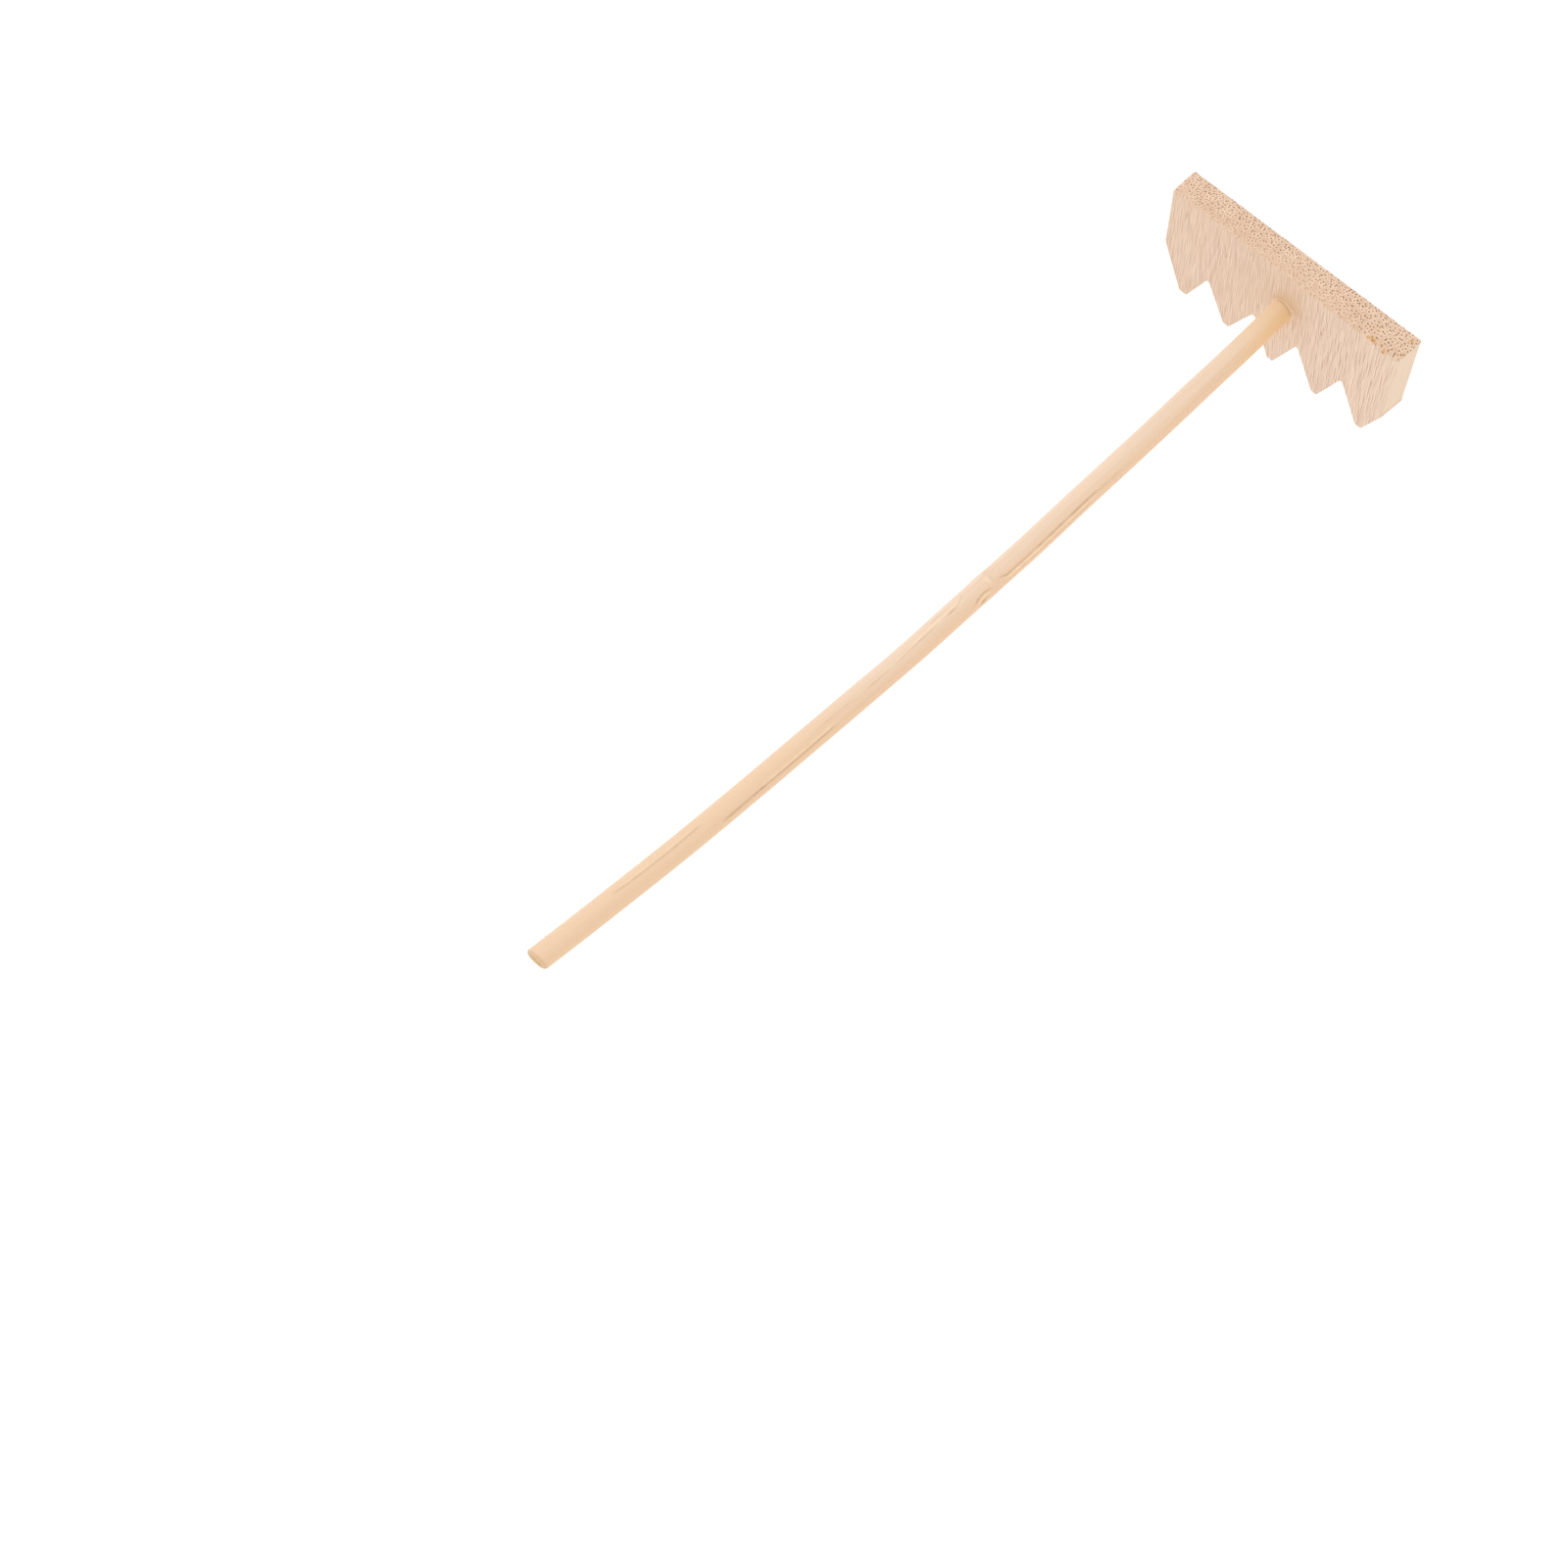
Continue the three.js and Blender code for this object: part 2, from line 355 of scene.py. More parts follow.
    tris = triangulated(faces)
    nrm = vertex_normals(co, tris)
    x, y, z = co[:, 0], co[:, 1], co[:, 2]
    front = smooth(-nrm[:, 1], 0.5, 0.9)
    back = smooth(nrm[:, 1], 0.5, 0.9)
    end = smooth(np.abs(nrm[:, 0]), 0.75, 0.95) * ((x < -20.5) | (x > 19.0)) * (z > -7.5) * (z < 8.1)
    end = end * smooth(z, -7.6, -6.4) * np.where(x < 0, smooth(z, -5.0, -3.8), 1.0)
    ease = smooth(x, -10, 8)
    topm = smooth(nrm[:, 2], 0.40 - 0.22 * ease, 0.85 - 0.25 * ease)
    in_bore = (np.hypot(x, z) < BORE_R + 0.06) & (y > 0.01) & (y < THICK - 0.01)
    flank = np.clip(1 - front - back - end - topm, 0, 1) * (z < -3.0) * (~in_bore)

    # Surface relief: planed and sanded along the fibres, sawn across them on top and in the notches.
    tilt = 0.0002 * x * x - 0.10
    u = x - tilt * z
    fibre = wave(np.stack([u, y - 0.06 * z, z], 1), (3.3, 3.3, 0.28), 3.1)
    fibre2 = wave(np.stack([u, y, z], 1), (1.1, 1.1, 0.1), 11.7)
    slow = wave(co, (0.11, 0.3, 0.13), 5.3)
    saw = wave(co, (1.2, 5.5, 1.2), 23.0) + 0.6 * wave(co, (4.0, 9.0, 4.0), 41.0)
    pits = wave(co, (3.4, 3.4, 3.4), 7.7)
    relief = (front + back) * (0.002 * fibre + 0.003 * fibre2 + 0.03 * slow)
    relief += end * (0.008 * fibre + 0.025 * slow)
    relief += topm * (0.022 * slow + 0.012 * pits + 0.008 * saw)
    relief += flank * (0.022 * saw + 0.03 * slow)
    relief = relief - 0.012 * (front + back)
    relief = np.where(in_bore, 0.0, relief)
    # A few fibres torn out where the saw left the notches and the top edge.
    edge_front = smooth(0.5 - y, 0.0, 0.5) * (topm + flank)
    relief -= edge_front * 0.05 * smooth(wave(co, (1.6, 1.6, 1.6), 71.0), 0.15, 0.5)
    co2 = co + nrm * relief[:, None]
    # Tips touch the table and don't pass through it.
    low = co2[:, 2] < -13.41
    co2[low, 2] = -13.41 + (co2[low, 2] + 13.41) * 0.1

    attributes = {"m_top": topm, "m_end": end, "m_flank": flank, "m_face": front + back,
                  "m_edge": np.clip(1 - np.maximum.reduce([front, back, topm, np.abs(nrm[:, 0]) ** 8]), 0, 1)}
    return make_object("rake_head_sawn_bamboo", co2, faces, uvs, attributes)


# ------------------------------------------------------------------ stick

BOW_DIR = np.array([math.cos(math.radians(160.7)), math.sin(math.radians(160.7))])
SIDE = np.array([-0.95, 0.31])
# Distance from the head, diameter and sideways wobble of the natural stick, in mm.
PROFILE = np.array([
    (0, 3.50, 0.0), (5, 3.49, -0.02), (10, 3.475, -0.045), (15, 3.48, 0.01), (20, 3.53, 0.03), (25, 3.50, 0.02),
    (30, 3.475, 0.005), (35, 3.495, 0.02), (40, 3.48, 0.045), (44.5, 3.515, 0.055), (49, 3.54, 0.005),
    (54, 3.545, -0.05), (59, 3.52, -0.045), (61.5, 3.53, -0.02), (63.5, 3.56, 0.0), (66, 3.53, -0.01), (70, 3.51, -0.02), (73, 3.51, -0.05),
    (77.4, 3.475, -0.09), (82, 3.44, -0.055), (86.5, 3.50, 0.01), (91, 3.495, 0.045), (95.5, 3.50, 0.065),
    (99, 3.50, 0.07), (110, 3.49, 0.03), (120, 3.51, -0.02), (132, 3.49, 0.02), (146, 3.48, 0.0)])
# Where a position along the stick, counted in sevenths of a mm in the drawing below, lies in mm.
RULER = np.array([(0, 1.0), (58, 10), (90, 15.1), (122, 20), (154, 25), (186, 29.9), (218, 34.8), (250, 39.7), (282, 44.5),
                  (314, 49.3), (346, 54), (378, 58.8), (410, 63.5), (442, 68.1), (474, 72.8), (506, 77.4), (538, 81.9),
                  (570, 86.5), (602, 91), (634, 95.5), (660, 99.1), (760, 113), (900, 132), (1000, 145.5)])
FACING = math.radians(71.9)      # middle of the side that carries the drawing, around the stick
# Fibre grooves, ridges and scars: points (along, across), width, relief in mm, tone (dark < 0 < light). Besides the
# fibres' own colour, the dark tone is painted shade in the grooves and the light tone a painted highlight on the
# ridges.
MARKS = [
    ([(261, -5.4), (300, -5.6), (345, -5.9), (388, -6.1), (396, -3.4)], 0.16, -0.045, -0.55),
    ([(266, -7.8), (330, -8.0), (388, -8.2), (394, -6.2)], 0.20, 0.025, 0.8),
    ([(268, -9.6), (330, -9.8), (390, -9.9)], 0.12, -0.02, -0.35),
    ([(228, -6.0), (262, -6.2)], 0.14, -0.012, -0.2),
    ([(409, -6.2), (413, -4.8), (418, -4.3), (424, -4.8), (430, -6.6), (434, -9.4)], 0.16, -0.04, -0.5),
    ([(411, -8.2), (418, -6.6), (423, -7.2), (428, -8.6), (433, -10.4)], 0.16, 0.025, 0.8),
    ([(421.5, -10.2), (424.5, -10.4)], 0.18, -0.04, -0.85),
    ([(414, -9.8), (420, -9.3), (431, -11.0)], 0.10, -0.015, -0.35),
    ([(399, 11.2), (403, 10.4)], 0.12, -0.03, -0.5),
    ([(407.5, -2.5), (406.4, 2.5), (406.0, 7.5)], 0.15, 0.03, 0.7),
    ([(403.8, -1.5), (403.2, 3.0), (403.0, 7.5)], 0.13, -0.018, -0.22),
    ([(410.5, 0.5), (409.8, 5.5)], 0.12, 0.02, 0.25),
    ([(436, 9.4), (440, 7.2), (446, 4.1), (456, 3.9), (466, 4.2)], 0.15, -0.035, -0.5),
    ([(439, 5.2), (443, 3.6), (448, 2.4)], 0.14, 0.015, 0.5),
    ([(440, 9.2), (447, 6.2), (458, 5.9), (476, 5.8), (513, 5.4)], 0.20, 0.02, 0.65),
    ([(476, 3.7), (495, 3.4), (514, 3.0)], 0.12, -0.02, -0.4),
    ([(513, 2.6), (524, 1.8), (534, 1.6)], 0.11, -0.015, -0.3),
    ([(541, 1.5), (556, 1.3), (572, 1.1)], 0.10, -0.012, -0.28),
    ([(513, 4.2), (530, 3.9), (552, 3.6)], 0.16, 0.012, 0.3),
    ([(455, 8.6), (468, 9.2), (480, 9.0)], 0.12, -0.015, -0.25),
    ([(620, -6.2), (650, -6.8), (674, -6.9), (700, -6.8), (742, -7.2), (770, -7.6)], 0.15, -0.04, -0.6),
    ([(620, -4.4), (650, -4.9), (676, -5.0), (716, -5.0)], 0.18, 0.02, 0.6),
    ([(588, 2.2), (612, 2.0), (640, 2.4)], 0.10, -0.01, -0.22),
    ([(790, 4.0), (830, 3.2), (880, 3.6), (902, 5.0)], 0.13, -0.03, -0.4),
    ([(800, 6.2), (850, 5.6), (890, 6.0)], 0.18, 0.015, 0.3),
    ([(120, 8.0), (170, 8.3), (214, 8.0)], 0.10, -0.008, -0.14),
    ([(52, -2.0), (96, -2.4), (132, -2.2)], 0.10, -0.006, -0.12),
]


def stick_centre(y):
    """Bench x and z of the stick's centreline at y (negative towards the free end)."""
    q = np.maximum(0.0, -y) / 100.0
    drift = 1.097 * q ** 2 + 1.156 * q ** 3
    wob = np.interp(-y, PROFILE[:, 0], PROFILE[:, 2]) - 0.08 - 0.022 * smooth(-y, 0.0, 6.0)
    return drift * BOW_DIR[0] + wob * SIDE[0], drift * BOW_DIR[1] + wob * SIDE[1]


def build_stick():
    segs = 144
    back_end = THICK - 0.12
    ys = list(np.linspace(back_end, 0.4, 6)) + list(np.arange(0.0, -145.2, -0.42))
    rows = []            # (y, radius factor, inward) for each ring
    r0 = STICK_R
    # Back end: a disc, then its broken rim.
    for f in (0.0, 0.2, 0.4, 0.6, 0.8):
        rows.append((back_end + 0.0, f * (r0 - 0.12), "disc"))
    for k in range(4):
        a = math.pi / 2 * k / 4
        rows.append((back_end - 0.12 * (1 - math.cos(a)), r0 - 0.12 + 0.12 * math.sin(a), "rim"))
    for y in ys:
        if y < back_end - 0.13:
            rows.append((y, None, "side"))
    rim = 0.42
    for k in range(9):
        a = math.pi / 2 * k / 8
        rows.append((FREE_END + rim * (1 - math.sin(a)), ("rim", rim * (1 - math.cos(a))), "tail"))
    for f in (0.85, 0.7, 0.55, 0.4, 0.25, 0.12, 0.0):
        rows.append((FREE_END, ("face", f), "tail"))

    theta = np.arange(segs) * 2 * math.pi / segs
    pts, grain, tone_y, tone_phi, is_end = [], [], [], [], []
    radii = []
    for y, r, kind in rows:
        nominal = np.interp(-y, PROFILE[:, 0], PROFILE[:, 1]) / 2
        if kind in ("disc", "rim"):
            rr = r * nominal / r0
        elif kind == "side":
            rr = nominal
        else:
            rr = nominal - r[1] if r[0] == "rim" else (nominal - rim) * r[1]
        rr = np.full(segs, float(rr))
        # Not quite round: planed from a square blank.
        rr = rr * (1 + 0.006 * np.cos(2 * theta + 0.9 + 0.01 * y) + 0.004 * np.cos(3 * theta + 0.03 * y))
        cx, cz = stick_centre(min(y, 0.0))
        yy = np.full(segs, float(y))
        if kind == "tail":
            # The free end was snipped a little out of square and its face is slightly crowned.
            px, pz = rr * np.cos(theta), rr * np.sin(theta)
            yy = yy + 0.05 * (px * 0.5 - pz * 0.8) + 0.05 * (1 - 0)
            share = 1 - np.clip(rr / nominal, 0, 1)
            yy = yy - 0.10 * share
        pts.append(np.stack([cx + rr * np.cos(theta), yy, cz + rr * np.sin(theta)], 1))
        grain.append(np.stack([rr * np.cos(theta), np.full(segs, float(y)), rr * np.sin(theta)], 1))
        is_end.append(np.full(segs, 1.0 if kind in ("disc",) or (kind == "tail" and r[0] == "face") else 0.0))
        radii.append(rr)
    nrow = len(rows)
    co = np.concatenate(pts)
    grain = np.concatenate(grain)
    is_end = np.concatenate(is_end)
    th = np.tile(theta, nrow)
    ylen = -np.repeat([row[0] for row in rows], segs)
    faces, uvs = [], []
    wide, high = 36.6, 56.0
    edge_len = np.array([row[0] for row in rows])
    disc_rows = 5
    tail_face_first = nrow - 7

    def uv_side(k, i, ii):
        y = min(-edge_len[k] + 4.6, 150.1)
        band = uv_side.band
        v = (y - band * 50.1) + 0.3
        return ((band * 12.2 + 0.3 + ii * 11.4 / segs) / wide, v / high)

    for k in range(nrow - 1):
        on_disc = k < disc_rows - 1 or k >= tail_face_first
        y_mid = -(edge_len[k] + edge_len[k + 1]) / 2 + 4.6
        uv_side.band = int(min(2, max(0, y_mid // 50.1)))
        for i in range(segs):
            j = (i + 1) % segs
            a, b, c, d = k * segs + i, k * segs + j, (k + 1) * segs + j, (k + 1) * segs + i
            faces.append((a, b, c, d))
            if on_disc:
                cx0 = 3.0 if k < disc_rows else 8.0
                uvs.append([((cx0 + grain[q, 0]) / wide, (53.8 + grain[q, 2]) / high) for q in (a, b, c, d)])
            else:
                uvs.append([uv_side(k, i, i), uv_side(k, j, i + 1), uv_side(k + 1, j, i + 1), uv_side(k + 1, i, i)])

    # Marks: signed relief and tone by distance to each drawn line; the tone carries painted shade in the grooves and a
    # painted highlight on the ridges.
    phi = (th - FACING + math.pi) % (2 * math.pi) - math.pi
    across = STICK_R * phi
    relief = np.zeros(len(co))
    tone_and_painted_light = np.zeros(len(co))
    side = (is_end < 0.5) & (ylen > 0.2)
    for path, width, depth, shade in MARKS:
        p = np.array(path, float)
        py = np.interp(p[:, 0], RULER[:, 0], RULER[:, 1])
        pa = STICK_R * np.arcsin(np.clip(p[:, 1] / 13.0, -0.98, 0.98))
        best = np.full(len(co), 9.0)
        near = side & (ylen > py.min() - 2) & (ylen < py.max() + 2)
        idx = np.where(near)[0]
        qy, qa = ylen[idx], across[idx]
        dmin = np.full(len(idx), 9.0)
        where = np.zeros(len(idx))
        length = np.concatenate([[0], np.cumsum(np.hypot(np.diff(py), np.diff(pa)))])
        for s in range(len(py) - 1):
            dy, da = py[s + 1] - py[s], pa[s + 1] - pa[s]
            tt = np.clip(((qy - py[s]) * dy + (qa - pa[s]) * da) / max(dy * dy + da * da, 1e-9), 0, 1)
            dist = np.hypot(qy - py[s] - tt * dy, qa - pa[s] - tt * da)
            upd = dist < dmin
            dmin[upd] = dist[upd]
            where[upd] = (length[s] + tt * (length[s + 1] - length[s]))[upd]
        fade = smooth(where, -0.2, min(1.2, length[-1] * 0.3)) * smooth(length[-1] - where, -0.2, min(1.2, length[-1] * 0.3))
        fade = 0.35 + 0.65 * fade
        broken = 0.72 + 0.45 * np.array([noise.noise(Vector((yy_ * 0.9, depth * 900, 3.0))) for yy_ in qy])
        w = np.exp(-(dmin / width) ** 2) * fade * np.clip(broken, 0.2, 1.1)
        relief[idx] += depth * w
        tone_and_painted_light[idx] += shade * w

    # Fine fibres and slow unevenness along the stick, and the faint swelling of the knuckle.
    gp = grain.copy()
    fibre = wave(gp * np.array([1, 0, 1]) + np.stack([np.zeros(len(gp)), gp[:, 1] * 0.045, np.zeros(len(gp))], 1), (3.4, 1.0, 3.4), 9.3)
    facet = wave(gp * np.array([1, 0, 1]) + np.stack([np.zeros(len(gp)), gp[:, 1] * 0.02, np.zeros(len(gp))], 1), (0.9, 1.0, 0.9), 31.0)
    body = (is_end < 0.5).astype(float)
    relief += body * (0.009 * fibre + 0.012 * facet)
    knot = np.exp(-((ylen - 63.3) / 1.1) ** 2) - 0.55 * np.exp(-((ylen - 60.9) / 0.9) ** 2)
    relief += body * knot * 0.022
    relief += is_end * 0.02 * wave(grain, (2.6, 1, 2.6), 2.0)
    inside_bore = (co[:, 1] > 0.0) & (is_end < 0.5)
    relief = np.where(inside_bore, 0.0, relief)

    tris = triangulated(faces)
    nrm = vertex_normals(co, tris)
    co = co + nrm * relief[:, None]

    # A loose fibre that stands off the stick near its free end.
    base_y = -142.4
    cx, cz = stick_centre(base_y)
    start = np.array([cx + SIDE[0] * 1.70, base_y, cz + SIDE[1] * 1.70])
    rings, sides = 9, 6
    first = len(co)
    extra, extra_grain = [], []
    for k in range(rings):
        f = k / (rings - 1)
        p = start + np.array([-0.62, -0.10, 0.95]) * 1.15 * f + np.array([-0.10, -0.22, -0.05]) * f * f
        rad = 0.055 * (1 - 0.75 * f) * (0.6 if k == 0 else 1.0)
        for q in range(sides):
            a = 2 * math.pi * q / sides
            d1, d2 = np.array([0.83, 0.0, 0.54]), np.array([0.0, 1.0, 0.0])
            extra.append(p + rad * (math.cos(a) * d1 + 0.6 * math.sin(a) * d2))
            extra_grain.append([SIDE[0] * 1.75, base_y, SIDE[1] * 1.75 + 0.3 * f])
    for k in range(rings - 1):
        for q in range(sides):
            a, b = first + k * sides + q, first + k * sides + (q + 1) % sides
            faces.append((a, a + sides, b + sides, b))
            u0, v0 = 30.0 + k * 0.3, 53.0 + q * 0.3
            uvs.append([(u0 / wide, v0 / high), ((u0 + 0.3) / wide, v0 / high), ((u0 + 0.3) / wide, (v0 + 0.3) / high), (u0 / wide, (v0 + 0.3) / high)])
    faces.append(tuple(first + q for q in range(sides)))
    uvs.append([((30 + 0.3 * math.cos(q)) / wide, (52.4 + 0.3 * math.sin(q)) / high) for q in range(sides)])
    faces.append(tuple(first + (rings - 1) * sides + q for q in reversed(range(sides))))
    uvs.append([((31 + 0.3 * math.cos(q)) / wide, (52.4 + 0.3 * math.sin(q)) / high) for q in range(sides)])
    co = np.concatenate([co, np.array(extra)])
    grain = np.concatenate([grain, np.array(extra_grain)])
    tone_and_painted_light = np.concatenate([tone_and_painted_light, np.full(len(extra), 0.35)])
    is_end = np.concatenate([is_end, np.zeros(len(extra))])
    return co, faces, uvs, tone_and_painted_light, is_end, grain


def stick_object():
    co, faces, uvs, tone_and_painted_light, is_end, grain = build_stick()
    return make_object("handle_stick_bamboo", co, faces, uvs, {"m_tone_and_painted_light": tone_and_painted_light, "m_cut": is_end}, {"grain": grain})


# ------------------------------------------------------------------ glue

def build_glue():
    m = 96
    ang = np.arange(m) * 2 * math.pi / m

    def near(a0, spread):
        d = (ang - math.radians(a0) + math.pi) % (2 * math.pi) - math.pi
        return np.exp(-(d / math.radians(spread)) ** 2)

    circle = np.stack([np.cos(ang), np.zeros(m), np.sin(ang)], 1)
    lump = wave(circle * 1.0, (1.6, 1, 1.6), 4.4)
    lump2 = wave(circle * 1.0, (4.5, 1, 4.5), 14.4)
    wide_ = 0.10 + 0.42 * near(5, 55) + 0.16 * near(95, 40) + 0.05 * lump + 0.03 * lump2
    tall = 0.10 + 0.42 * near(12, 48) + 0.12 * near(100, 45) + 0.05 * lump + 0.03 * lump2
    wide_, tall = np.clip(wide_, 0.06, 0.6), np.clip(tall, 0.06, 0.5)
    prof = []
    prof.append(((STICK_R + 0.02) * np.ones(m), 4.2 * np.ones(m)))
    prof.append(((STICK_R + 0.02) * np.ones(m), 2.0 * np.ones(m)))
    prof.append(((STICK_R - 0.03) * np.ones(m), 0.0 - tall * 0.5))
    prof.append(((STICK_R - 0.03) * np.ones(m), -tall))
    steps = 9
    for k in range(1, steps):
        f = k / steps
        bend = 0.30 * math.sin(math.pi * f)
        r = STICK_R - 0.01 + (BORE_R + wide_ - STICK_R) * f ** 1.1
        y = -tall * (1 - f) ** 1.1 + np.minimum(tall, wide_) * bend * 0.7
        prof.append((r - np.minimum(tall, wide_) * bend * 0.25, np.minimum(y, -0.012 * (1 - f) + 0.0)))
    prof.append((BORE_R + wide_ + 0.02, 0.035 * np.ones(m)))
    prof.append(((BORE_R - 0.015) * np.ones(m), 0.07 * np.ones(m)))
    prof.append(((BORE_R - 0.015) * np.ones(m), 2.0 * np.ones(m)))
    prof.append(((BORE_R - 0.015) * np.ones(m), 4.2 * np.ones(m)))
    # Back meniscus: the glue dries a little hollow between stick and bore.
    prof.append(((BORE_R - 0.05) * np.ones(m), 4.30 * np.ones(m)))
    prof.append((((BORE_R + STICK_R) / 2) * np.ones(m), 4.24 * np.ones(m)))
    nk = len(prof)
    sx, sz = stick_centre(0.0)
    layers = []
    for k, (r, y) in enumerate(prof):
        f = np.clip((BORE_R + wide_ - r) / (BORE_R + wide_ - STICK_R), 0, 1) if k < 4 + steps else np.zeros(m)
        layers.append(np.stack([r * np.cos(ang) + sx * f, y, r * np.sin(ang) + sz * f], 1))
    co = np.concatenate(layers)
    faces, uvs = [], []
    for k in range(nk):
        kk = (k + 1) % nk
        for i in range(m):
            j = (i + 1) % m
            faces.append((k * m + i, kk * m + i, kk * m + j, k * m + j))
            uvs.append([(i / m, k / nk), (i / m, (k + 1) / nk), ((i + 1) / m, (k + 1) / nk), ((i + 1) / m, k / nk)])
    return make_object("glue_joint_dried", co, faces, uvs, {})


# ------------------------------------------------------------------ materials

class Nodes:
    """Small helper that writes a node tree."""

    def __init__(self, name):
        self.mat = bpy.data.materials.new(name)
        self.mat.use_nodes = True
        self.nt = self.mat.node_tree
        self.bsdf = self.nt.nodes["Principled BSDF"]

    def new(self, kind, **values):
        node = self.nt.nodes.new(kind)
        for key, value in values.items():
            setattr(node, key, value)
        return node

    def set(self, socket, value):
        if isinstance(value, bpy.types.NodeSocket):
            self.nt.links.new(value, socket)
        else:
            socket.default_value = value

    def math(self, op, a, b=0.0, c=0.0, clamp=False):
        node = self.new("ShaderNodeMath", operation=op, use_clamp=clamp)
        for socket, value in zip(node.inputs, (a, b, c)):
            self.set(socket, value)
        return node.outputs[0]

    def mul(self, a, b):
        return self.math("MULTIPLY", a, b)

    def add(self, a, b):
        return self.math("ADD", a, b)

    def sub(self, a, b):
        return self.math("SUBTRACT", a, b)

    def step(self, x, a, b, lo=0.0, hi=1.0):
        node = self.new("ShaderNodeMapRange", interpolation_type="SMOOTHSTEP")
        for key, value in (("Value", x), ("From Min", a), ("From Max", b), ("To Min", lo), ("To Max", hi)):
            self.set(node.inputs[key], value)
        return node.outputs["Result"]

    def bell(self, x, centre, width):
        """1 at centre, falling smoothly to 0 at centre +- width."""
        d = self.math("ABSOLUTE", self.sub(x, centre))
        return self.step(d, 0.0, width, 1.0, 0.0)

    def vector(self, x, y, z):
        node = self.new("ShaderNodeCombineXYZ")
        for socket, value in zip(node.inputs, (x, y, z)):
            self.set(socket, value)
        return node.outputs[0]

    def split(self, v):
        node = self.new("ShaderNodeSeparateXYZ")
        self.set(node.inputs[0], v)
        return node.outputs[0], node.outputs[1], node.outputs[2]

    def noise(self, v, scale=1.0, detail=1.0, rough=0.5):
        node = self.new("ShaderNodeTexNoise")
        self.set(node.inputs["Vector"], v)
        node.inputs["Scale"].default_value = scale
        node.inputs["Detail"].default_value = detail
        node.inputs["Roughness"].default_value = rough
        return node.outputs[0]

    def cells(self, v, scale=1.0, random=1.0):
        node = self.new("ShaderNodeTexVoronoi", voronoi_dimensions="2D", feature="F1")
        self.set(node.inputs["Vector"], v)
        node.inputs["Scale"].default_value = scale
        node.inputs["Randomness"].default_value = random
        return node.outputs["Distance"], node.outputs["Color"]

    def attribute(self, name):
        node = self.new("ShaderNodeAttribute", attribute_name=name)
        return node

    def mix(self, fac, a, b):
        node = self.new("ShaderNodeMix", data_type="RGBA")
        self.set(node.inputs[0], fac)
        self.set(node.inputs[6], a)
        self.set(node.inputs[7], b)
        return node.outputs[2]

    def scaled(self, colour, factor):
        """colour times a number that varies over the surface."""
        node = self.new("ShaderNodeVectorMath", operation="SCALE")
        self.set(node.inputs[0], colour)
        self.set(node.inputs["Scale"], factor)
        return node.outputs[0]

    def distance(self, v, point):
        node = self.new("ShaderNodeVectorMath", operation="DISTANCE")
        self.set(node.inputs[0], v)
        node.inputs[1].default_value = point
        return node.outputs["Value"]

    def bump(self, height, strength, distance):
        node = self.new("ShaderNodeBump")
        node.inputs["Strength"].default_value = strength
        node.inputs["Distance"].default_value = distance
        self.set(node.inputs["Height"], height)
        self.set(self.bsdf.inputs["Normal"], node.outputs[0])

    def bench(self):
        """Bench-frame coordinates in mm from the piece's own coordinates."""
        tc = self.new("ShaderNodeTexCoord")
        mp = self.new("ShaderNodeMapping", vector_type="TEXTURE")
        mp.inputs["Location"].default_value = tuple(POS / 1000.0)
        mp.inputs["Rotation"].default_value = (LEAN, 0.0, 0.0)
        mp.inputs["Scale"].default_value = (0.001, 0.001, 0.001)
        self.nt.links.new(tc.outputs["Object"], mp.inputs["Vector"])
        return mp.outputs[0]


